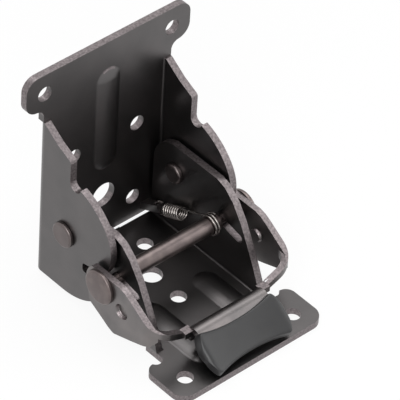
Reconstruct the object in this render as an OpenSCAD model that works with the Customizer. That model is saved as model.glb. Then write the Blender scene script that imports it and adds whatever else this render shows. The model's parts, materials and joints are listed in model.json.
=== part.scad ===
// Folding table bracket: two pressed steel leaves on a common hinge, locked open by a sprung cross rod.
// Frame in mm: x across, y back, z up. The shapes are drawn with the two mounting faces, y = 0 and z = 0,
// meeting at the origin. placed() then moves every node back, so that the part's origin is the centre of
// the lying leaf's large hole, on its bottom face.
// The upright leaf turns about +x and folds forward over the lying leaf.

/* [Sheet] */
// Thickness of the two leaves
sheet = 2.5; // [1.5:0.1:3]
// Thickness of the release lever
lever_sheet = 2.3; // [1.5:0.1:3]
// Inner radius of the bends
bend_radius = 0.8; // [0.4:0.1:1.5]
// Height of the pressed ribs
rib_height = 1.2; // [0.6:0.1:2]
// Diameter of the screw holes
screw_hole = 5.5; // [4:0.1:7]

/* [Hinge] */
// Distance of the hinge axis in front of the upright mounting face
hinge_back = 14.1; // [13:0.1:18]
// Height of the hinge axis above the lower mounting face
hinge_height = 25.8; // [24:0.1:30]
// Diameter of the rivet shank
rivet_shank = 5; // [4:0.1:6]
// Diameter of the outer rivet head
rivet_head = 9; // [7:0.1:10]
// Thickness of the outer rivet head
rivet_head_height = 1.5; // [1:0.1:2.5]
// Diameter of the inner rivet head
rivet_tail = 7.2; // [6:0.1:9]
// Thickness of the inner rivet head
rivet_tail_height = 2; // [1:0.1:2.5]
// Diameter of the washer between the walls
washer_diameter = 9.6; // [7:0.1:11]
// Thickness of the washer between the walls
washer_height = 0.9; // [0.5:0.1:1.2]
// Radial clearance of what turns or slides
run_clearance = 0.06; // [0.03:0.01:0.1]

/* [Upper plate] */
// Full height of the upright leaf above the lower mounting face
upper_top = 82.9; // [75:0.1:90]
// Height of the leaf's lower edge
upper_foot = 3.6; // [3.4:0.1:5]
// Half width across the ears
ear_half = 33.5; // [31:0.1:36]
// Height of the underside of the ears
ear_under = 69.1; // [67:0.1:71]
// Half the outer width over the side walls
upper_half = 26.2; // [25.9:0.1:26.5]
// Height of the screw holes in the ears
ear_hole_height = 75.25; // [73:0.05:77]
// Half the spacing of the screw holes in the ears
ear_hole_half = 26; // [24:0.1:28]
// Half the spacing of the middle screw holes
mid_hole_half = 13.1; // [11:0.1:15]
// Height of the middle screw holes
mid_hole_height = 42.7; // [40:0.1:46]
// Half the spacing of the low screw holes
low_hole_half = 12.8; // [11:0.1:14]
// Height of the low screw holes
low_hole_height = 11.7; // [10:0.1:13]
// Diameter of the large hole
large_hole = 9.3; // [7:0.1:11]
// Height of the large hole
large_hole_height = 19.4; // [18:0.1:22]
// Radius of the side walls about the hinge
wall_radius = 23.4; // [23:0.1:23.6]
// Height where the side walls run out at the top
wall_top = 63.8; // [61:0.1:66]

/* [Lower plate] */
// Length of the lying leaf in front of the upright mounting face
lower_reach = 75.9; // [72:0.1:80]
// Half width across its ears
lower_ear_half = 30.2; // [28:0.1:33]
// Length of its ears
lower_ear_length = 14.4; // [12:0.1:16]
// Half the outer width over its side walls
lower_half = 22.75; // [22.4:0.05:22.75]
// Distance of its ear holes in front of the upright mounting face
lower_ear_hole_reach = 68.6; // [66:0.1:71]
// Half the spacing of its ear holes
lower_ear_hole_half = 22.7; // [21:0.1:24]
// Diameter of its middle hole
lower_mid_hole = 7.4; // [6:0.1:9]
// Distance of the large middle hole, the part's origin, in front of the upright mounting face
lower_mid_reach = 26.9; // [26:0.1:28]
// Height of its side walls
lower_wall_top = 36.2; // [35:0.1:36.6]

/* [Lock] */
// Diameter of the lock rod, thinner here than the real one, which is about 5.9
rod_diameter = 3.4; // [3:0.1:4]
// Diameter of the heads of the lock rod
rod_head = 12.1; // [10:0.1:13]
// Thickness of the heads of the lock rod
rod_head_height = 1.5; // [1:0.1:2]
// Distance of the resting rod in front of the upright mounting face
rod_reach = 35.56; // [35.3:0.01:36]
// Height of the resting rod
rod_height = 20.96; // [20.8:0.01:21.2]
// Downward slope of the rod's path in degrees
pull_slope = 12; // [10:1:14]
// Travel of the rod over the whole fold
pull_travel = 9; // [8.5:0.1:9]

/* [Release lever] */
// Half the inner width between the lever's arms
arm_inside = 27.2; // [26.8:0.1:27.6]
// Distance of the lever's back wall in front of the upright mounting face
web_reach = 59.5; // [59:0.1:60.5]
// Outer radius of the rounded top of the back wall
ridge_radius = 3.4; // [3:0.1:4]
// Downward slope of the lip in degrees
lip_slope = 38; // [34:1:42]
// Length of the lip
lip_length = 8.3; // [7:0.1:9]
// Half width of the lip
lip_half = 14.6; // [12:0.1:15]

/* [Grip] */
// Half width of the rubber grip
grip_half = 17.3; // [16:0.1:18]
// Height of the grip's rims above the lip
grip_rise = 1.7; // [1.5:0.1:2.2]
// Depth of the saddle between the rims
saddle_depth = 0.8; // [0.5:0.1:1]

/* [Return spring] */
// Wire diameter
wire = 0.9; // [0.7:0.1:1]
// Outer diameter of the coil
coil_diameter = 4.8; // [4.2:0.1:5.2]
// Turns of the coil
coil_turns = 7; // [6:1:8]
// Length of the coil
coil_length = 7.8; // [7.4:0.1:9]
// Sideways place of the coil
spring_side = 17.7; // [17.4:0.1:17.8]

/* [Hidden] */
$fn = 64;
eps = 0.01;
bend_outer = bend_radius + sheet;
rod_radius = rod_diameter / 2;
arm_outside = arm_inside + lever_sheet;
corner_radius = 6.5;
tab_depth = 3;
cut_depth = 12;
ear_corner = 4.8;
neck_corner = 3;
rib_half_low = 4.9;
rib_half_high = 5.1;
// The nose above the notch follows a smaller circle, which leaves the rod room as it is drawn out.
nose_shift = 8.6;
nose_angle = 35;
lip_start = [-web_reach - ridge_radius - ridge_radius * sin(lip_slope), 10.5 + ridge_radius * cos(lip_slope)];
// The tongue that holds the spring
tongue_root = 5.1;
tongue_rise = 26;
tongue_length = 10.4;
tongue_side = 18;
tongue_half = 1.6;
hook_back = 8.5;
hook_point = [-sheet / 2 - hook_back * cos(tongue_rise), tongue_root + hook_back * sin(tongue_rise)];
spring_run = [-rod_reach - hook_point[0], rod_height - hook_point[1]];
spring_length = norm(spring_run);
spring_angle = atan2(spring_run[1], -spring_run[0]);
hook_radius = 2.2;
hook_hole = 2.2;
loop_radius = rod_radius + wire / 2 + 0.08;

// Points of an arc, from one angle to the other in equal steps
function arc(centre, radius, from, to, steps = 10) =
    [for (i = [0 : steps]) centre + radius * [cos(from + (to - from) * i / steps),
        sin(from + (to - from) * i / steps)]];

// Pieces are drawn from the upright mounting face, and placed from the middle hole
module placed() {
    translate([0, lower_mid_reach, 0])
        children();
}

// Extrudes a side view, drawn as (y, z), across x about the centre plane
module across(width, at = 0) {
    translate([at - width / 2, 0, 0])
        rotate([90, 0, 90])
            linear_extrude(width)
                children();
}

// Extrudes a front view, drawn as (x, z), backward from y = -front to y = -back
module through(front, back) {
    translate([0, -back, 0])
        rotate([90, 0, 0])
            linear_extrude(front - back)
                children();
}

// A round hole along y at (x, z)
module hole_y(x, z, diameter) {
    translate([x, cut_depth, z])
        rotate([90, 0, 0])
            cylinder(d = diameter, h = 2 * cut_depth);
}

// A round hole along z at (x, y)
module hole_z(x, y, diameter) {
    translate([x, y, -cut_depth])
        cylinder(d = diameter, h = 2 * cut_depth);
}

// A cylinder along x between two places
module bar(x0, x1, y, z, diameter) {
    translate([x0, y, z])
        rotate([0, 90, 0])
            cylinder(d = diameter, h = x1 - x0);
}

// A rectangle with two rounded corners at its far end, drawn from y0 to y1
module tab(half, y0, y1, radius) {
    for (side = [-1, 1])
        translate([side * (half - radius), y1 - radius])
            circle(radius);
    translate([-half, y0])
        square([2 * half, y1 - radius - y0]);
    translate([-half + radius, y0])
        square([2 * (half - radius), y1 - y0]);
}

// A U in plan, open to the front: outer half width, sheet, outer bend radius, depth
module channel(half, thickness, radius, depth) {
    difference() {
        rotate(180)
            channel_outline(half, radius, depth);
        translate([0, -thickness])
            rotate(180)
                channel_outline(half - thickness, max(radius - thickness, 0.3), depth);
    }
}

// A rectangle whose two corners at y = 0 are rounded, reaching to y = depth
module channel_outline(half, radius, depth) {
    for (side = [-1, 1])
        translate([side * (half - radius), radius])
            circle(radius);
    translate([-half + radius, 0])
        square([2 * (half - radius), depth]);
    translate([-half, radius])
        square([2 * half, depth - radius]);
}

// A domed pressed rib with round ends, in the xy plane, rising to rise above z = 0
module dome(half, length, rise) {
    radius = (half * half + rise * rise) / (2 * rise);
    span = length - 2 * half;
    intersection() {
        translate([0, 0, rise - radius])
            union() {
                translate([0, -span / 2, 0])
                    rotate([-90, 0, 0])
                        cylinder(r = radius, h = span);
                for (end = [-1, 1])
                    translate([0, end * span / 2, 0])
                        sphere(radius);
            }
        translate([-2 * half, -length, 0])
            cube([4 * half, 2 * length, rise + 1]);
    }
}

// Side view of the upright leaf's walls: lock notch in front, folded notch on top
module upper_wall_view() {
    hinge = [-hinge_back, hinge_height];
    difference() {
        union() {
            intersection() {
                translate(hinge)
                    circle(wall_radius, $fn = 128);
                translate([-hinge_back - wall_radius, hinge_height - wall_radius])
                    square([wall_radius + hinge_back, 2 * wall_radius]);
            }
            polygon(concat(
                [[0, hinge_height - wall_radius + 0.6]],
                arc([-0.6, hinge_height - wall_radius + 0.6], 0.6, 0, -90, 4),
                [[-hinge_back, hinge_height - wall_radius], [-hinge_back, 46.2], [-15.8, 46.2]],
                arc([-14.3, 55.5], 1.5, 180, 118, 6),
                [[-9.5, 59.4], [-3, wall_top], [0, wall_top]]
            ));
            translate([-20.5, 40])
                square([7, 6.2]);
        }
        // The folded notch, a trough just in front of the wall's step
        translate([-18.3, 48.6])
            circle(2.5);
        // Front of the circle above the nose angle stays, below it the nose circle rules
        difference() {
            polygon([hinge, hinge + 40 * [-cos(nose_angle), sin(nose_angle)], [-60, 16.7],
                [-hinge_back, 16.7]]);
            translate(hinge + nose_shift * [-cos(nose_angle), sin(nose_angle)])
                circle(wall_radius - nose_shift, $fn = 128);
            translate([-30, 10])
                square([20, 30]);
        }
        lock_notch_view();
    }
}

// The lock notch: flat floor, rising roof, small corner radii at its end
module lock_notch_view() {
    polygon(concat(
        [[-60, 16.7]],
        arc([-24, 17.7], 1, -90, 0, 5),
        arc([-24, 19.1], 1, 0, 101, 5),
        [[-34, 22.3], [-60, 27.2]]
    ));
}

module upper_plate() {
    color("#6a6768")
    placed()
    difference() {
        union() {
            // Flat sheet with the ears
            through(sheet, 0) {
                translate([0, ear_under + ear_corner])
                    tab(ear_half, 0, upper_top - ear_under - ear_corner, ear_corner);
                translate([0, upper_top - ear_corner])
                    mirror([0, 1])
                        tab(ear_half, 0, upper_top - ear_under - ear_corner, ear_corner);
                translate([-upper_half + bend_outer, upper_foot])
                    square([2 * (upper_half - bend_outer), 70]);
                // Neck between the side walls and the ears, with hollow corners
                for (side = [0, 1])
                    mirror([side, 0])
                        polygon(concat(
                            [[-eps, wall_top - eps], [upper_half, wall_top - eps]],
                            arc([upper_half + neck_corner, ear_under - neck_corner], neck_corner, 180, 90, 8),
                            [[upper_half + neck_corner, ear_under + 1], [-eps, ear_under + 1]]
                        ));
            }
            // Side walls with their bends
            intersection() {
                linear_extrude(wall_top)
                    channel(upper_half, sheet, bend_outer, 45);
                across(80)
                    upper_wall_view();
            }
            // Narrow tongue bent forward from the lower edge
            across(2 * tongue_half, tongue_side)
                tongue_view();
            // Pressed rib
            translate([0, -sheet + eps, 51.5])
                rotate([90, 0, 0])
                    dome(rib_half_high, 42, rib_height + eps);
        }
        translate([0, 0, 51.5])
            rotate([90, 0, 0])
                dome(rib_half_high - 0.7, 40.6, rib_height);
        for (side = [-1, 1]) {
            hole_y(side * ear_hole_half, ear_hole_height, screw_hole);
            hole_y(side * mid_hole_half, mid_hole_height, screw_hole);
            hole_y(side * low_hole_half, low_hole_height, screw_hole);
        }
        hole_y(0, large_hole_height, large_hole);
        bar(-40, 40, -hinge_back, hinge_height, rivet_shank + 2 * run_clearance);
        // Seat of the spring's hook, through the tongue
        translate([tongue_side, hook_point[0], hook_point[1]])
            rotate([-tongue_rise, 0, 0])
                translate([0, 0, -5])
                    cylinder(d = hook_hole, h = 10);
    }
}

// Side view of the tongue: a bent strip with a round tip
module tongue_view() {
    difference() {
        union() {
            translate([-sheet, upper_foot])
                square([sheet, 4]);
            translate([-sheet / 2, tongue_root])
                rotate(-tongue_rise)
                    translate([-tongue_length, -sheet / 2])
                        square([tongue_length + 0.6, sheet]);
        }
        translate([0.2, 0])
            square([5, 20]);
        translate([-3, 0])
            square([4, upper_foot - 0.1]);
    }
}

// Side view of the lying leaf's walls
module lower_wall_view() {
    rear_radius = hinge_back - 3.5;
    difference() {
        union() {
            translate([-hinge_back, hinge_height])
                circle(rear_radius);
            polygon(concat(
                [[-7.1, 0]],
                arc([-7.1, 3.6], 3.6, -90, 0, 6),
                [[-3.5, hinge_height], [-hinge_back, hinge_height], [-hinge_back, lower_wall_top],
                    [-33, lower_wall_top]],
                [[-36.8, 35], [-40.8, 31.5], [-45, 25.5], [-48.5, 18.7], [-51.9, 11.7], [-54.3, 6],
                    [-55.2, sheet], [-55.2, 0]]
            ));
        }
        translate([-30, lower_wall_top])
            square([40, 10]);
    }
}

// Slot that guides the rod, in side view
module rod_slot_view() {
    path = pull_travel * [-cos(pull_slope), -sin(pull_slope)];
    translate([-rod_reach, rod_height]) {
        circle(rod_radius + run_clearance);
        translate(path)
            circle(rod_radius + run_clearance);
        rotate(180 + pull_slope)
            translate([0, eps - rod_radius - run_clearance])
                square([pull_travel, rod_diameter + 2 * run_clearance - 2 * eps]);
    }
}

module lower_plate() {
    rib_place = -52;
    color("#6a6768")
    placed()
    difference() {
        union() {
            // Flat sheet in plan
            linear_extrude(sheet) {
                difference() {
                    union() {
                        translate([0, -lower_reach + lower_ear_length])
                            mirror([0, 1])
                                tab(lower_ear_half, 0, lower_ear_length, 5);
                        for (side = [-1, 1])
                            translate([side * (lower_ear_half - 3.5), -lower_reach + lower_ear_length + 0.1])
                                circle(3.5);
                        translate([-26.7, -lower_reach + 6])
                            square([53.4, lower_ear_length - 2.5]);
                        translate([-22.5, -70])
                            square([45, 20]);
                        translate([-lower_half + bend_outer, -70])
                            square([2 * (lower_half - bend_outer), 62.9]);
                        // Middle tab of the rear edge, where the real leaf has a recess about 19 wide
                        translate([-6.8, -12])
                            square([13.6, 8.6]);
                        translate([-8.8, -8])
                            square([17.6, 2.9]);
                    }
                    for (side = [-1, 1]) {
                        translate([side * 8.8, -5.1])
                            circle(2);
                        translate([side * 24.7, -57])
                            circle(2.2);
                    }
                }
            }
            // Side walls with their bends
            intersection() {
                rotate([90, 0, 0])
                    linear_extrude(70)
                        mirror([0, 1])
                            channel(lower_half, sheet, bend_outer, 45);
                across(80)
                    lower_wall_view();
            }
            for (side = [-1, 1])
                translate([side * 11.6, rib_place, sheet - eps])
                    dome(rib_half_low, 33, rib_height + eps);
        }
        for (side = [-1, 1]) {
            translate([side * 11.6, rib_place, 0])
                dome(rib_half_low - 0.7, 31.6, rib_height);
            hole_z(side * lower_ear_hole_half, -lower_ear_hole_reach, screw_hole);
            hole_z(side * 8, -14.7, screw_hole);
        }
        hole_z(0, -lower_mid_reach, lower_mid_hole);
        hole_z(0, -39.9, screw_hole);
        bar(-40, 40, -hinge_back, hinge_height, rivet_shank + 2 * run_clearance);
        across(80)
            rod_slot_view();
    }
}

// One rivet: flat head outside, shank through both walls, round tail inside
module rivet(side) {
    head_face = upper_half + 0.05;
    wall_inside = lower_half - sheet;
    color("#55504f")
    placed()
    mirror([side < 0 ? 1 : 0, 0, 0]) {
        translate([head_face, -hinge_back, hinge_height])
            rotate([0, 90, 0]) {
                cylinder(d = rivet_head, h = rivet_head_height - 0.4);
                translate([0, 0, rivet_head_height - 0.4])
                    cylinder(d1 = rivet_head, d2 = rivet_head - 1.2, h = 0.4);
            }
        bar(wall_inside - rivet_tail_height + 0.5, head_face + eps, -hinge_back, hinge_height, rivet_shank);
        translate([wall_inside, -hinge_back, hinge_height])
            rotate([0, -90, 0]) {
                cylinder(d = rivet_tail, h = rivet_tail_height - 0.6);
                translate([0, 0, rivet_tail_height - 0.6])
                    cylinder(d1 = rivet_tail, d2 = rivet_tail - 1.6, h = 0.6);
            }
    }
}

module hinge_rivet_left() {
    rivet(-1);
}

module hinge_rivet_right() {
    rivet(1);
}

// One washer, between the two walls
module washer(side) {
    color("#4a4747")
    placed()
    mirror([side < 0 ? 1 : 0, 0, 0])
        difference() {
            bar(lower_half, lower_half + washer_height, -hinge_back, hinge_height, washer_diameter);
            bar(lower_half - 1, lower_half + 2, -hinge_back, hinge_height, rivet_shank + 2 * run_clearance);
        }
}

module hinge_washer_left() {
    washer(-1);
}

module hinge_washer_right() {
    washer(1);
}

module lock_rod() {
    color("#8d8382") placed() {
        bar(-arm_outside - eps, arm_outside + eps, -rod_reach, rod_height, rod_diameter);
        for (side = [0, 1])
            mirror([side, 0, 0])
                translate([arm_outside, -rod_reach, rod_height])
                    rotate([0, 90, 0]) {
                        cylinder(d = rod_head, h = rod_head_height - 0.4);
                        translate([0, 0, rod_head_height - 0.4])
                            cylinder(d1 = rod_head, d2 = rod_head - 1.2, h = 0.4);
                    }
    }
}

// Side view of the lever's arms
module arm_view() {
    polygon(concat(
        arc([-rod_reach, rod_height], 7, 50, -28, 8),
        arc([-32.2, 12.9], 2, 0, -62, 4),
        [[-35.7, 8.8], [-39.7, 6.6]],
        arc([-42.2, 8], 2.2, -66, -118, 4),
        [[-50, 8.3], [-54.7, 10], [-58.4, 11.4], [-60.4, 14], [-60.6, 10.9], [-70, 10.9], [-70, 13.5]],
        [[-61.8, 16.5], [-57.5, 19], [-55, 20.6], [-51.8, 22.6], [-49, 24.4], [-46.5, 25.7], [-44,
            26.3], [-32, 26.3]]
    ));
}

// Front view of the lever: full over the arms, low over the back wall, blended round the corners
module lever_front_view() {
    for (side = [0, 1])
        mirror([side, 0])
            polygon([
                [17.6, 11], [22.5, 12.9], [25.5, 14.3], [27.2, 15.2], [27.2, 0], [40, 0], [40, 30],
                    [27.4, 30],
                [27.2, 18.2], [25.5, 16.9], [22.5, 15.4], [18, 13.5], [17.6, 13.1]
            ]);
}

// Side view of the rounded top of the back wall and the lip
module ridge_view() {
    centre = [-web_reach - ridge_radius, 10.5];
    difference() {
        union() {
            intersection() {
                translate(centre)
                    circle(ridge_radius);
                polygon([centre, centre + [20, 0], centre + [20, 20], centre + 20 * [-sin(lip_slope),
                    cos(lip_slope)]]);
            }
            translate([-web_reach - lever_sheet, 8])
                square([lever_sheet, 2.5 + eps]);
            translate(lip_start)
                rotate(lip_slope)
                    translate([-lip_length, -lever_sheet])
                        square([lip_length + eps, lever_sheet]);
        }
        translate(centre)
            circle(ridge_radius - lever_sheet);
    }
}

module release_lever() {
    color("#6f6a6b")
    placed()
    difference() {
        union() {
            intersection() {
                translate([0, -web_reach - lever_sheet, 0])
                    linear_extrude(40)
                        mirror([0, 1])
                            channel(arm_outside, lever_sheet, corner_radius, 40);
                across(80)
                    arm_view();
                through(70, 0)
                    lever_front_view();
            }
            across(2 * lip_half)
                ridge_view();
            // Flat tabs that join the back wall's ends to the ridge
            for (side = [0, 1])
                mirror([side, 0, 0])
                    translate([lip_half - 0.3, -web_reach - tab_depth, 10.9])
                        cube([17.8 - lip_half + 0.3, tab_depth, 2.2]);
            // Pressed pimples inside the arms
            for (side = [0, 1])
                mirror([side, 0, 0])
                    translate([arm_inside + eps, -45.4, 17.2])
                        rotate([0, -90, 0])
                            cylinder(d1 = 5, d2 = 4.2, h = 0.8);
        }
        for (side = [0, 1])
            mirror([side, 0, 0])
                translate([arm_outside + eps, -45.4, 17.2])
                    rotate([0, -90, 0])
                        cylinder(d1 = 5.6, d2 = 4.6, h = 1.2);
        bar(-40, 40, -rod_reach, rod_height, rod_diameter + 0.06);
    }
}

// Side view of the grip along the lip: u down the lip, w out of it
module grip_view() {
    translate(lip_start)
        rotate(lip_slope)
            mirror([1, 0])
                difference() {
                    union() {
                        translate([1.2, -2.4])
                            square([12.4, 2.4 + grip_rise - 1]);
                        translate([2.2, -3.4])
                            square([7, 4]);
                        translate([1, -2.4])
                            square([1.4, 2.4 + grip_rise - 1]);
                        translate([1, grip_rise - 1.01])
                            square([12.6, 1.01]);
                        translate([2.2, -2.4])
                            circle(1);
                        translate([13.4, 0.4])
                            circle(1.25);
                        translate([9.1, -2.3])
                            circle(1.1);
                    }
                    // Pocket that the lip fills
                    translate([-1, -lever_sheet - 0.03])
                        square([lip_length + 1.05, lever_sheet + 0.06]);
                    translate([9.4, -6])
                        rotate(24)
                            square([10, 3.2]);
                }
}

module rubber_grip() {
    saddle = grip_half * grip_half / (2 * saddle_depth);
    color("#3f3f40")
    placed()
    difference() {
        intersection() {
            across(2 * grip_half)
                grip_view();
            translate([0, 0, -5])
                linear_extrude(40)
                    grip_plan();
        }
        // Saddle between the rims
        translate([0, lip_start[0], lip_start[1]])
            rotate([lip_slope, 0, 0])
                translate([0, 20, grip_rise - saddle_depth + saddle])
                    rotate([90, 0, 0])
                        cylinder(r = saddle, h = 60, $fn = 128);
    }
}

// Plan of the grip: full half width in the middle, hollow front and back edges, rounded corners
module grip_plan() {
    difference() {
        union() {
            translate([-grip_half, -75])
                square([2 * grip_half, 6]);
            translate([-grip_half + 1.4, -79])
                square([2 * grip_half - 2.8, 14]);
            for (side = [-1, 1]) {
                translate([side * (grip_half - 2.5), -75])
                    circle(2.5);
                translate([side * (grip_half - 3.2), -68.8])
                    circle(3.2);
            }
        }
        translate([0, -76.2 - 42])
            circle(42, $fn = 128);
        translate([0, -66.3 + 55])
            circle(55, $fn = 128);
    }
}

// Outline in plan of a coil's cut: the wire covers this much of a turn at any height
module coil_cut() {
    middle = (coil_diameter - wire) / 2;
    cover = 180 * wire * coil_turns / coil_length;
    steps = 5;
    polygon(concat(
        [for (i = [-steps : steps]) (middle + wire / 2 * sqrt(1 - pow(i / steps,
            2))) * [cos(cover * i / steps), sin(cover * i / steps)]],
        [for (i = [steps - 1 : -1 : 1 - steps]) (middle - wire / 2 * sqrt(1 - pow(i / steps,
            2))) * [cos(cover * i / steps), sin(cover * i / steps)]]
    ));
}

// A closed ring of wire about the y axis
module wire_ring(x, radius, side = 0) {
    translate([x, side, 0])
        rotate([90, 0, 0])
            rotate_extrude($fn = 36)
                translate([radius, 0])
                    circle(wire / 2, $fn = 14);
}

// A straight wire along x
module wire_straight(from, to) {
    translate([from, 0, 0])
        rotate([0, 90, 0])
            cylinder(d = wire, h = to - from, $fn = 14);
}

// The spring along +x from the tongue's hole at the origin, before it is turned into place
module spring_straight() {
    coil_start = 2 * hook_radius + 0.7;
    coil_end = coil_start + coil_length;
    middle = (coil_diameter - wire) / 2;
    wire_ring(hook_radius, hook_radius);
    wire_straight(2 * hook_radius, coil_start);
    translate([coil_start, 0, 0])
        rotate([0, 90, 0])
            linear_extrude(coil_length, twist = -360 * coil_turns, slices = 12 * coil_turns, $fn = 12)
                coil_cut();
    // The end turns run in to the axis
    for (at = [coil_start, coil_end])
        translate([at, 0, -middle])
            cylinder(d = wire, h = middle + wire / 2, $fn = 14);
    wire_straight(coil_end, spring_length - loop_radius);
    // Two turns round the rod
    for (side = [-1, 1])
        wire_ring(spring_length, loop_radius, side * wire * 0.49);
}

module return_spring() {
    color("#b9b3b0") placed() {
        translate([spring_side, hook_point[0], hook_point[1]])
            rotate([-spring_angle, 0, 0])
                rotate([0, 0, -90])
                    spring_straight();
    }
}

upper_plate();
lower_plate();
hinge_rivet_left();
hinge_rivet_right();
hinge_washer_left();
hinge_washer_right();
lock_rod();
release_lever();
rubber_grip();
return_spring();
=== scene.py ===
"""Folding table bracket in black nickel steel, dressed around its CAD frame.

Metres, z up, y back; the origin is the middle hole of the lying leaf, on its bottom face.
Sizes here are in mm from the upright leaf's mounting face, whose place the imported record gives.
"""
import json
import math

import bmesh
import bpy
import numpy as np
from mathutils import Matrix, Vector


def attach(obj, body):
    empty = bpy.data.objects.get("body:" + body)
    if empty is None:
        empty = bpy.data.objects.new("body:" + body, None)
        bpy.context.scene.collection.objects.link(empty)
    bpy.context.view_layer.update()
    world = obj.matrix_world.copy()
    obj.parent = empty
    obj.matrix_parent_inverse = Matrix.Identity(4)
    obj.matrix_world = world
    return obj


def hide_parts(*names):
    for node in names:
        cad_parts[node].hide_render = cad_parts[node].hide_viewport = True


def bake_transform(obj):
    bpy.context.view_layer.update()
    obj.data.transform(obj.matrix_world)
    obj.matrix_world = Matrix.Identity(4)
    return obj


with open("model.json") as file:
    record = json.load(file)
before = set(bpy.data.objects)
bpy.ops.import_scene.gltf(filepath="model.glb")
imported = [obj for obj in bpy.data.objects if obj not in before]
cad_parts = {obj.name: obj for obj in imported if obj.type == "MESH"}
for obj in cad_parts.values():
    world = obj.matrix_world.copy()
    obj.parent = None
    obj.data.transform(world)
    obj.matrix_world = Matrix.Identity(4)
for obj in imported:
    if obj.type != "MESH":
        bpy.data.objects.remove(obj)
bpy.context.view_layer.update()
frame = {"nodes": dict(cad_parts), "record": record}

MM = 0.001

# Sizes in mm
UPRIGHT = next(m["pos_m"][1] for m in frame["record"]["mounts"] if m["name"] == "upper_face")
FACE = Vector((0.0, UPRIGHT / MM, 0.0))

# Where the sheet's bends and walls begin, which tells a sheared edge from a bent or flat face
UPPER_WALL, UPPER_SHEET, UPPER_BEND, UPPER_NECK = 23.6, -3.4, -6.0, 26.3
LOWER_WALL, LOWER_SHEET, LOWER_BEND, LOWER_EARS = 19.9, 2.6, 6.0, -54.0
LEVER_FRONT, RIDGE_HALF, RIDGE_BACK = -61.9, 14.7, -59.0

# The resting rod: radius in the walls, radius of its middle as the photograph measures it, and its heads
ROD = Vector((0.0, -35.56, 20.96))
ROD_RADIUS = 1.7
ROD_MIDDLE = 2.95
ROD_SHOULDER = 19.0
SHOULDER_CHAMFER = 0.35
HEAD_OUTSIDE, HEAD_INSIDE, HEAD_RADIUS = 31.0, 29.5, 6.05
HEAD_CHAMFER, HEAD_CHAMFER_DEEP = 0.4, 0.6

# The spring: its hook in the tongue, its coil and its turns round the rod; angles in degrees
SPRING_SIDE = 17.7
HOOK = Vector((SPRING_SIDE, -8.89, 8.826))
WIRE = 0.9
COIL_DIAMETER = 4.8
COIL_TURNS = 7
COIL_LENGTH = 7.8
HOOK_RADIUS = 2.2
HOOK_NECK = 0.7
RING_RADIUS = ROD_MIDDLE + WIRE / 2 + 0.05
RING_TURNS, RING_SIDE, RING_WIDTH = 2.1, -2.4, 2.5
HOOK_POINTS, RING_POINTS, POINTS_PER_TURN = 29, 47, 20
HOOK_START, HOOK_SWEEP, HOOK_LEAN = 60, 305, 0.5

# The grip, along the lever's lip: half its length, the half distance between its corners and its edges
LIP_SLOPE = math.radians(38)
LIP_START = Vector((0.0, -64.99, 13.18))
GRIP_HALF = 17.0
GRIP_CORNER = 14.75
END_ARC = 12.5
GRIP_BACK, BACK_HOLLOW = 1.5, 1.9
GRIP_FRONT, FRONT_HOLLOW = 14.7, 2.05
GRIP_RINGS = 45


# Colours and nodes
def srgb(code):
    """A hex colour as linear RGBA."""
    channels = [int(code[i:i + 2], 16) / 255 for i in (1, 3, 5)]
    linear = [c / 12.92 if c <= 0.04045 else ((c + 0.055) / 1.055) ** 2.4 for c in channels]
    return (*linear, 1.0)


def add(tree, kind, links=(), **settings):
    """One node with its settings: names with a leading in_ are sockets, the rest are properties."""
    node = tree.nodes.new(kind)
    for name, value in settings.items():
        if name.startswith("in_"):
            key = name[3:]
            node.inputs[int(key) if key.isdigit() else key.replace("_", " ")].default_value = value
        else:
            setattr(node, name, value)
    for source, socket in links:
        tree.links.new(source, node.inputs[socket])
    return node


def blank_material(name):
    material = bpy.data.materials.new(name)
    material.use_nodes = True
    tree = material.node_tree
    tree.nodes.clear()
    shader = tree.nodes.new("ShaderNodeBsdfPrincipled")
    out = tree.nodes.new("ShaderNodeOutputMaterial")
    tree.links.new(shader.outputs[0], out.inputs["Surface"])
    where = tree.nodes.new("ShaderNodeTexCoord").outputs["Object"]
    return material, tree, shader, where


def ramp(tree, factor, stops):
    """A colour ramp from (position, hex) stops."""
    node = add(tree, "ShaderNodeValToRGB", [(factor, "Fac")])
    elements = node.color_ramp.elements
    while len(elements) < len(stops):
        elements.new(0.5)
    for element, (at, code) in zip(elements, stops):
        element.position = at
        element.color = srgb(code)
    return node.outputs["Color"]


def spread(tree, factor, low, high, start=0.0, end=1.0):
    """A value spread from low to high as the factor goes from start to end."""
    node = add(tree, "ShaderNodeMapRange", [(factor, "Value")],
               in_From_Min=start, in_From_Max=end, in_To_Min=low, in_To_Max=high)
    return node.outputs["Result"]


def noise(tree, where, size_mm, detail=2.0, roughness=0.5):
    """Noise whose main blotches are about size_mm across."""
    node = add(tree, "ShaderNodeTexNoise", [(where, "Vector")],
               in_Scale=1.0 / (size_mm * MM), in_Detail=detail, in_Roughness=roughness)
    return node.outputs["Fac"]


def bump(tree, shader, height, distance_mm, strength=1.0):
    node = add(tree, "ShaderNodeBump", [(height, "Height")],
               in_Strength=strength, in_Distance=distance_mm * MM)
    tree.links.new(node.outputs["Normal"], shader.inputs["Normal"])


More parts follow.
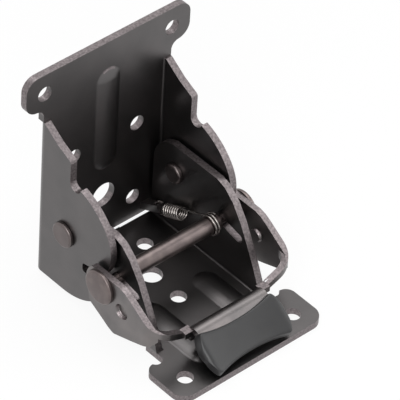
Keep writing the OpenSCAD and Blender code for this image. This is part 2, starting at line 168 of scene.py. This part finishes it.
def plated_steel(name, body, glint, torn, cut, roughness):
    """Black nickel plate over cold-pressed steel sheet.

    A dark warm metal, satin, with the pebble of the rolled sheet under it; faint blotches about
    9 mm wide from the press oil; the sheared edges are brighter and a little rougher.
    """
    material, tree, shader, where = blank_material(name)
    blotch = noise(tree, where, 9.0, 3.0)
    # Real sheet has a finer pebble; it is drawn coarser, so that it shows
    pebble = noise(tree, where, 0.55, 2.0, 0.6)
    tint = ramp(tree, blotch, [(0.3, body), (0.72, glint)])
    edge = add(tree, "ShaderNodeAttribute", attribute_name="cut_edge").outputs["Fac"]
    colour = add(tree, "ShaderNodeMix", data_type="RGBA")
    tree.links.new(tint, colour.inputs[6])
    tree.links.new(ramp(tree, noise(tree, where, 0.7, 2.0), [(0.3, torn), (0.7, cut)]), colour.inputs[7])
    tree.links.new(edge, colour.inputs["Factor"])
    tree.links.new(colour.outputs[2], shader.inputs["Base Color"])
    rough = add(tree, "ShaderNodeMath", [(spread(tree, pebble, -0.05, 0.05), 0)],
                operation="ADD", in_1=roughness)
    more = add(tree, "ShaderNodeMath", [(edge, 0), (rough.outputs[0], 2)],
               operation="MULTIPLY_ADD", in_1=0.06)
    tree.links.new(more.outputs[0], shader.inputs["Roughness"])
    shader.inputs["Metallic"].default_value = 1.0
    bump(tree, shader, pebble, 0.02, 0.5)
    return material


def bright_steel(name, body, glint, roughness):
    """Nickel plated drawn wire and bar: smooth, a little cloudy where the plating is uneven."""
    material, tree, shader, where = blank_material(name)
    cloud = noise(tree, where, 2.5, 1.0)
    tree.links.new(ramp(tree, cloud, [(0.35, body), (0.7, glint)]), shader.inputs["Base Color"])
    tree.links.new(spread(tree, cloud, roughness - 0.04, roughness + 0.06), shader.inputs["Roughness"])
    shader.inputs["Metallic"].default_value = 1.0
    bump(tree, shader, cloud, 0.002, 0.3)
    return material


def moulded_rubber(name):
    """Compression-moulded natural rubber: matt dark gray, a fine even grain and a soft sheen."""
    material, tree, shader, where = blank_material(name)
    # A real mould leaves a finer grain; it is drawn coarser, so that it shows
    grain = noise(tree, where, 0.35, 3.0, 0.65)
    bloom = noise(tree, where, 7.0, 2.0)
    tree.links.new(ramp(tree, bloom, [(0.3, "#1b1b1c"), (0.75, "#232324")]), shader.inputs["Base Color"])
    tree.links.new(spread(tree, grain, 0.34, 0.47), shader.inputs["Roughness"])
    shader.inputs["IOR"].default_value = 1.52
    shader.inputs["Sheen Weight"].default_value = 0.03
    shader.inputs["Sheen Roughness"].default_value = 0.5
    bump(tree, shader, grain, 0.03, 0.6)
    return material


PLATE = plated_steel("black_nickel_pressed_steel", "#605e5e", "#676464", "#655f60", "#8a8283", 0.33)
LEVER = plated_steel("black_nickel_lever_steel", "#6b6868", "#7d7877", "#6d6768", "#918889", 0.32)
RIVET = plated_steel("black_nickel_rivet_steel", "#5c5554", "#6e6665", "#5c5554", "#6e6665", 0.33)
BAR = bright_steel("satin_nickel_bar", "#685f5e", "#756b69", 0.34)
SPRING_WIRE = bright_steel("bright_nickel_spring_wire", "#85807d", "#aba5a1", 0.24)
RUBBER = moulded_rubber("moulded_grip_rubber")


# Meshes
def new_object(name, mesh):
    obj = bpy.data.objects.new(name, mesh)
    bpy.context.scene.collection.objects.link(obj)
    return obj


def ringed_object(name, rings, material):
    """A closed skin over rings of points in metres, as many in each, with a flat face at either end."""
    around = len(rings[0])
    faces = []
    for i in range(len(rings) - 1):
        near, far = i * around, (i + 1) * around
        for j in range(around):
            k = (j + 1) % around
            faces.append((near + j, near + k, far + k, far + j))
    faces.append(tuple(range(around - 1, -1, -1)))
    last = (len(rings) - 1) * around
    faces.append(tuple(last + j for j in range(around)))
    mesh = bpy.data.meshes.new(name)
    mesh.from_pydata([point for ring in rings for point in ring], [], faces)
    work = bmesh.new()
    work.from_mesh(mesh)
    bmesh.ops.recalc_face_normals(work, faces=work.faces)
    work.to_mesh(mesh)
    work.free()
    mesh.materials.append(material)
    return new_object(name, mesh)


def break_edges(obj, width_mm):
    """A small round on every edge sharper than 32 degrees."""
    bevel = obj.modifiers.new("broken edges", "BEVEL")
    bevel.width = width_mm * MM
    bevel.segments = 2
    bevel.limit_method = "ANGLE"
    bevel.angle_limit = math.radians(32)


def bake_modifiers(obj):
    """The evaluated mesh takes the place of the mesh and its modifiers."""
    graph = bpy.context.evaluated_depsgraph_get()
    mesh = bpy.data.meshes.new_from_object(obj.evaluated_get(graph))
    obj.modifiers.clear()
    obj.data = mesh


def mark_cut_edges(mesh, is_cut):
    """Stores on every face corner whether the sheet was sheared there."""
    layer = mesh.attributes.new("cut_edge", "FLOAT", "CORNER")
    values = np.zeros(len(mesh.loops), dtype=np.float32)
    for polygon in mesh.polygons:
        if is_cut(polygon.center / MM - FACE, polygon.normal):
            values[polygon.loop_start:polygon.loop_start + polygon.loop_total] = 1.0
    layer.data.foreach_set("value", values)


def body_holding(node):
    """The body that a CAD node belongs to."""
    bodies = frame["record"]["behaviour"]["bodies"]
    return next(body for body, nodes in bodies.items() if node in nodes)


def edged_copy(node, material, is_cut, width_mm):
    """A copy of a CAD node with its sharp edges broken, as a press and a barrel leave them."""
    mesh = frame["nodes"][node].data.copy()
    work = bmesh.new()
    work.from_mesh(mesh)
    bmesh.ops.remove_doubles(work, verts=work.verts, dist=0.002 * MM)
    bmesh.ops.dissolve_limit(work, angle_limit=math.radians(0.3), verts=work.verts, edges=work.edges)
    work.to_mesh(mesh)
    work.free()
    mesh.materials.clear()
    mesh.materials.append(material)
    mesh.shade_smooth()
    mesh.set_sharp_from_angle(angle=math.radians(60))
    obj = new_object(node + "_finished", mesh)
    break_edges(obj, width_mm)
    even = obj.modifiers.new("flat faces stay flat", "WEIGHTED_NORMAL")
    even.mode = "FACE_AREA"
    even.weight = 100
    bake_modifiers(obj)
    mark_cut_edges(obj.data, is_cut)
    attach(obj, body_holding(node))
    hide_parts(node)


# The pressed steel
def cut_on_upper(at, normal):
    """The rims of the upright leaf's walls, its top and foot, and the outline of its ears."""
    if abs(at.x) > UPPER_WALL and at.y < UPPER_SHEET:
        in_bend = at.y > UPPER_BEND and abs(normal.z) < 0.3
        return not in_bend and abs(normal.x) < 0.6
    return abs(normal.z) > 0.35 or abs(at.x) > UPPER_NECK and abs(normal.y) < 0.8


def cut_on_lower(at, normal):
    """The rims of the lying leaf's walls, its front and rear edges, and the outline of its ears."""
    if abs(at.x) > LOWER_WALL and at.z > LOWER_SHEET:
        in_bend = at.z < LOWER_BEND and abs(normal.y) < 0.3
        return not in_bend and abs(normal.x) < 0.6
    on_edge = abs(normal.z) < 0.5
    return on_edge and (at.z < LOWER_SHEET and abs(normal.y) > 0.2 or at.y < LOWER_EARS)


def cut_on_lever(at, normal):
    """The rims of the lever's arms and back wall, without its ridge and lip."""
    on_ridge = abs(at.x) < RIDGE_HALF and at.y < RIDGE_BACK
    return abs(normal.z) > 0.6 and at.y > LEVER_FRONT and not on_ridge


def never(at, normal):
    return False


edged_copy("upper_plate", PLATE, cut_on_upper, 0.22)
edged_copy("lower_plate", PLATE, cut_on_lower, 0.22)
edged_copy("release_lever", LEVER, cut_on_lever, 0.4)
for side in ("left", "right"):
    edged_copy("hinge_rivet_" + side, RIVET, never, 0.2)
    washer = frame["nodes"]["hinge_washer_" + side]
    washer.data.materials.clear()
    washer.data.materials.append(RIVET)


# The lock rod
def lock_rod():
    """The turned rod: two flat heads, thin ends through the walls, and the thick middle."""
    half = [
        (HEAD_OUTSIDE, HEAD_RADIUS - HEAD_CHAMFER_DEEP), (HEAD_OUTSIDE - HEAD_CHAMFER, HEAD_RADIUS),
        (HEAD_INSIDE, HEAD_RADIUS), (HEAD_INSIDE, ROD_RADIUS),
        (ROD_SHOULDER, ROD_RADIUS), (ROD_SHOULDER, ROD_MIDDLE - SHOULDER_CHAMFER),
        (ROD_SHOULDER - SHOULDER_CHAMFER, ROD_MIDDLE),
    ]
    around = 64
    rings = []
    for x, r in half + [(-x, r) for x, r in reversed(half)]:
        angles = (2 * math.pi * j / around for j in range(around))
        rings.append([(Vector((x, r * math.cos(a), r * math.sin(a))) + ROD + FACE) * MM for a in angles])
    obj = ringed_object("turned_rod", rings, BAR)
    break_edges(obj, 0.15)
    bake_modifiers(obj)
    obj.data.shade_smooth()
    obj.data.set_sharp_from_angle(angle=math.radians(35))
    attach(obj, "lever")
    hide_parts("lock_rod")


lock_rod()


# The rubber grip
def grip_frame(x, down, out):
    """A point of the grip from its own axes: across, down the lip, out of the lip (mm)."""
    along = Vector((0.0, -math.cos(LIP_SLOPE), -math.sin(LIP_SLOPE)))
    away = Vector((0.0, -math.sin(LIP_SLOPE), math.cos(LIP_SLOPE)))
    return Vector((x, 0.0, 0.0)) + LIP_START + along * down + away * out


def rubber_grip():
    """A saddle sleeve: scooped top, hollow back and front edges, and thick round ends."""
    rings = []
    bulge = GRIP_HALF - GRIP_CORNER
    full = math.sqrt(END_ARC ** 2 - (END_ARC - bulge) ** 2)
    # The height, out of the lip, toward which the thickness closes at the ends
    middle = -0.9
    for i in range(GRIP_RINGS):
        t = math.sin(math.pi / 2 * (-1 + 2 * i / (GRIP_RINGS - 1)))
        x = GRIP_HALF * t
        rise = min(1.0, abs(x) / GRIP_CORNER) ** 2.2
        # Ends: bulging arcs in plan between the corners, with the thickness closing on a quarter circle
        inward = min(bulge, GRIP_HALF - abs(x))
        open_part = max(0.15, math.sqrt(END_ARC ** 2 - (END_ARC - inward) ** 2) / full)
        thick = 0.35 + 0.65 * math.sqrt(max(0.0, 1 - (max(0.0, abs(t) - 0.91) / 0.09) ** 2))
        back, front = GRIP_BACK - BACK_HOLLOW * rise, GRIP_FRONT - FRONT_HOLLOW * (1 - rise)
        centre = (back + front) / 2
        back, front = centre - (centre - back) * open_part, centre + (front - centre) * open_part
        # Near the ends the section's rounds shrink with its depth
        small = min(1.0, (front - back) / 8.0)
        front_top = front - 0.6 * small
        top_back, top_front = 0.95 + 0.7 * rise, 0.75 + 0.85 * rise
        section = [
            (back + 0.05 * small, top_back - 0.9),
            (back + 0.3 * small, top_back - 0.15),
            (back + 1.2 * small, top_back),
            (back + 0.4 * (front_top - back), top_back * 0.6 + top_front * 0.4 - 0.12),
            (back + 0.75 * (front_top - back), top_front - 0.12),
            (front_top - 0.5 * small, top_front),
            (front_top, top_front - 0.2),
            (front - 0.4 * small, -0.55),
            (front, -0.95),
            (front - 0.25 * small, -1.7),
            (front - 1.6 * small, -2.1),
            (front - 4.4 * small, -3.1),
            (back + 2.6 * small, -3.4),
            (back + 0.8 * small, -3.3),
            (back + 0.1 * small, -2.6),
        ]
        ring = [grip_frame(x, down, middle + (out - middle) * thick) for down, out in section]
        rings.append([(point + FACE) * MM for point in ring])
    obj = ringed_object("rubber_sleeve", rings, RUBBER)
    smooth = obj.modifiers.new("smooth", "SUBSURF")
    smooth.levels = smooth.render_levels = 2
    bake_modifiers(obj)
    obj.data.shade_smooth()
    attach(obj, "lever")
    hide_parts("rubber_grip")


rubber_grip()


# The return spring
def wire_tree():
    """Geometry Nodes that draw a round wire along the curve they are given."""
    tree = bpy.data.node_groups.new("wire_along_route", "GeometryNodeTree")
    tree.interface.new_socket("Route", in_out="INPUT", socket_type="NodeSocketGeometry")
    tree.interface.new_socket("Wire radius", in_out="INPUT", socket_type="NodeSocketFloat")
    tree.interface.new_socket("Sides", in_out="INPUT", socket_type="NodeSocketInt")
    tree.interface.new_socket("Finish", in_out="INPUT", socket_type="NodeSocketMaterial")
    tree.interface.new_socket("Wire", in_out="OUTPUT", socket_type="NodeSocketGeometry")
    given = tree.nodes.new("NodeGroupInput")
    section = add(tree, "GeometryNodeCurvePrimitiveCircle",
                  [(given.outputs["Sides"], "Resolution"), (given.outputs["Wire radius"], "Radius")])
    swept = add(tree, "GeometryNodeCurveToMesh",
                [(given.outputs["Route"], "Curve"), (section.outputs["Curve"], "Profile Curve")])
    swept.inputs["Fill Caps"].default_value = True
    whole = add(tree, "GeometryNodeRealizeInstances", [(swept.outputs["Mesh"], "Geometry")])
    dressed = add(tree, "GeometryNodeSetMaterial",
                  [(whole.outputs["Geometry"], "Geometry"), (given.outputs["Finish"], "Material")])
    add(tree, "NodeGroupOutput", [(dressed.outputs["Geometry"], "Wire")])
    return tree


def set_input(modifier, name, value):
    for item in modifier.node_group.interface.items_tree:
        if item.item_type == "SOCKET" and item.in_out == "INPUT" and item.name == name:
            modifier[item.identifier] = value


def spring_axes():
    """Along the spring, across the bracket and up from both, with the length from hook to rod."""
    along = Vector((SPRING_SIDE, ROD.y, ROD.z)) - HOOK
    length = along.length
    along.normalize()
    side = Vector((1.0, 0.0, 0.0))
    return along, side, side.cross(along) * -1, length


def spring_route():
    """The wire from the hook round the tongue's hole to the two turns round the rod, in mm."""
    along, side, up, length = spring_axes()
    if up.z < 0:
        up = -up

    def at(a, s, u):
        return FACE + HOOK + along * a + side * s + up * u

    middle = (COIL_DIAMETER - WIRE) / 2
    coil_start = 2 * HOOK_RADIUS + HOOK_NECK
    coil_end = coil_start + COIL_LENGTH
    route = []
    # Hook: most of a ring through the hole, ending near its own start
    for i in range(HOOK_POINTS):
        t = i / (HOOK_POINTS - 1)
        angle = math.radians(HOOK_START + HOOK_SWEEP * t)
        out = HOOK_RADIUS + HOOK_RADIUS * math.cos(angle)
        route.append(at(out, HOOK_LEAN * (1 - t), HOOK_RADIUS * math.sin(angle)))
    # Out to the coil's first turn
    steps = 6
    for i in range(1, steps + 1):
        t = i / steps
        ease = t * t * (3 - 2 * t)
        route.append(at(2 * HOOK_RADIUS + HOOK_NECK * t, 0.0, -middle * ease))
    # Coil
    coil_points = COIL_TURNS * POINTS_PER_TURN
    for i in range(1, coil_points + 1):
        t = i / coil_points
        angle = 2 * math.pi * COIL_TURNS * t
        route.append(at(coil_start + COIL_LENGTH * t, middle * math.sin(angle), -middle * math.cos(angle)))
    half = len(route) - coil_points // 2
    # Half a turn more, up to the top of the coil, then straight to the rod
    for i in range(1, 9):
        angle = math.pi * i / 8
        route.append(at(coil_end + 0.5 * i / 8, middle * math.sin(angle), -middle * math.cos(angle)))
    # The straight wire meets the loops on their tangent, then two turns and a bit go round the rod
    gap = length - coil_end - 0.5
    lean = math.asin(RING_RADIUS / math.hypot(gap, middle)) - math.atan2(middle, gap)
    first = math.pi / 2 + lean
    top = at(length + RING_RADIUS * math.cos(first), RING_SIDE, RING_RADIUS * math.sin(first))
    last = route[-1]
    for i in range(1, 7):
        route.append(last.lerp(top, i / 7))
    for i in range(RING_POINTS):
        t = i / (RING_POINTS - 1)
        angle = first - 2 * math.pi * RING_TURNS * t
        out = length + RING_RADIUS * math.cos(angle)
        route.append(at(out, RING_SIDE + RING_WIDTH * t, RING_RADIUS * math.sin(angle)))
    return route, half


def wire_piece(name, points, tree):
    curve = bpy.data.curves.new(name, "CURVE")
    curve.dimensions = "3D"
    spline = curve.splines.new("POLY")
    spline.points.add(len(points) - 1)
    for point, place in zip(spline.points, points):
        point.co = (*(place * MM), 1.0)
    source = new_object(name + "_route", curve)
    modifier = source.modifiers.new("wire", "NODES")
    modifier.node_group = tree
    set_input(modifier, "Wire radius", WIRE / 2 * MM)
    set_input(modifier, "Sides", 14)
    set_input(modifier, "Finish", SPRING_WIRE)
    graph = bpy.context.evaluated_depsgraph_get()
    mesh = bpy.data.meshes.new_from_object(source.evaluated_get(graph))
    bpy.data.objects.remove(source)
    obj = new_object(name, mesh)
    mesh.shade_smooth()
    return obj


def return_spring():
    tree = wire_tree()
    route, half = spring_route()
    back = wire_piece("spring_back_half", route[:half + 1], tree)
    front = wire_piece("spring_front_half", route[half:], tree)
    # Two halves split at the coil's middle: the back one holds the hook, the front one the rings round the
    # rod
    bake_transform(back)
    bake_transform(front)
    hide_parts("return_spring")
    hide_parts("return_spring")


return_spring()


# Camera, floor and light
# The camera fitted to the photograph: angles in degrees, distances in mm, image of 400 pixels
AZIMUTH, ELEVATION, ROLL = -43.725, 41.933, 3.42
DISTANCE = 1300.0
AIM = Vector((0.0, -28.5, 28.5))
IMAGE = 400.0
PIXELS_PER_MM = 3.189
AIM_PIXEL = (158.269, 216.489)
LENS_PIXEL = (166.694, 214.891)


def photo_camera():
    """The camera that sees the resting bracket as the photograph shows it."""
    az, el, roll = (math.radians(a) for a in (AZIMUTH, ELEVATION, ROLL))
    back = Vector((math.sin(az) * math.cos(el), -math.cos(az) * math.cos(el), math.sin(el)))
    right = Vector((math.cos(az), math.sin(az), 0.0))
    up = back.cross(right)
    turned_right = right * math.cos(roll) + up * math.sin(roll)
    turned_up = up * math.cos(roll) - right * math.sin(roll)
    focal = PIXELS_PER_MM * DISTANCE
    shift_right = (AIM_PIXEL[0] - LENS_PIXEL[0]) / PIXELS_PER_MM
    shift_up = -(AIM_PIXEL[1] - LENS_PIXEL[1]) / PIXELS_PER_MM
    place = FACE + AIM + back * DISTANCE - turned_right * shift_right - turned_up * shift_up
    data = bpy.data.cameras.new("photo_camera")
    data.sensor_width = 36.0
    data.lens = focal / IMAGE * data.sensor_width
    data.shift_x = (IMAGE / 2 - LENS_PIXEL[0]) / IMAGE
    data.shift_y = (LENS_PIXEL[1] - IMAGE / 2) / IMAGE
    data.clip_start, data.clip_end = 0.05, 20.0
    camera = new_object("photo_camera", data)
    turn = Matrix((turned_right, turned_up, back)).transposed().to_4x4()
    camera.matrix_world = Matrix.Translation(place * MM) @ turn
    bpy.context.scene.camera = camera


def seen_straight(tree):
    """1 for the camera's own rays and those that a mirror or a clear piece passes on, else 0."""
    path = tree.nodes.new("ShaderNodeLightPath")
    camera, glossy, clear = (path.outputs[f"Is {kind} Ray"] for kind in ("Camera", "Glossy", "Transmission"))
    either = add(tree, "ShaderNodeMath", [(camera, 0), (glossy, 1)], operation="MAXIMUM")
    return add(tree, "ShaderNodeMath", [(either.outputs[0], 0), (clear, 1)], operation="MAXIMUM").outputs[0]


def floor():
    """A pale floor just under the lying leaf, white to the camera but for the object's shadow."""
    reach, z = 1.6, -0.0002
    mesh = bpy.data.meshes.new("floor")
    corners = [(-reach, -reach, z), (reach, -reach, z), (reach, reach, z), (-reach, reach, z)]
    mesh.from_pydata(corners, [], [(0, 1, 2, 3)])
    obj = new_object("floor", mesh)
    material, tree, shader, _ = blank_material("pale_floor")
    shader.inputs["Base Color"].default_value = srgb("#f7f7f7")
    shader.inputs["Roughness"].default_value = 0.9
    glow = add(tree, "ShaderNodeEmission", in_Color=srgb("#ffffff"), in_Strength=1.0)
    share = add(tree, "ShaderNodeMath", [(seen_straight(tree), 0)], operation="MULTIPLY", in_1=0.9)
    mix = add(tree, "ShaderNodeMixShader",
              [(share.outputs[0], 0), (shader.outputs[0], 1), (glow.outputs[0], 2)])
    out = next(n for n in tree.nodes if n.type == "OUTPUT_MATERIAL")
    tree.links.new(mix.outputs[0], out.inputs["Surface"])
    mesh.materials.append(material)


def area_light(name, place, size, power, target=(0.0, -0.03, 0.03)):
    """A soft lamp aimed at the bracket; places in metres from the upright leaf's mounting face."""
    data = bpy.data.lights.new(name, "AREA")
    data.shape = "RECTANGLE"
    data.size, data.size_y = size
    data.energy = power
    lamp = new_object(name, data)
    place, target = Vector(place) + FACE * MM, Vector(target) + FACE * MM
    turn = (place - target).to_track_quat("Z", "Y").to_matrix().to_4x4()
    lamp.matrix_world = Matrix.Translation(place) @ turn


def lights():
    area_light("key", place=(-0.55, -0.45, 0.55), size=(0.5, 0.5), power=4.0)
    area_light("top", place=(0.1, 0.1, 0.9), size=(0.8, 0.8), power=4.0)
    area_light("fill", place=(0.7, -0.5, 0.4), size=(0.5, 0.7), power=2.0)
    world = bpy.data.worlds.new("studio")
    bpy.context.scene.world = world
    world.use_nodes = True
    tree = world.node_tree
    tree.nodes.clear()
    dim = add(tree, "ShaderNodeBackground", in_Color=srgb("#ffffff"), in_Strength=0.35)
    white = add(tree, "ShaderNodeBackground", in_Color=srgb("#ffffff"), in_Strength=1.0)
    mix = add(tree, "ShaderNodeMixShader",
              [(seen_straight(tree), 0), (dim.outputs[0], 1), (white.outputs[0], 2)])
    add(tree, "ShaderNodeOutputWorld", [(mix.outputs[0], "Surface")])


photo_camera()
floor()
lights()
bpy.context.scene.view_settings.view_transform = "Standard"
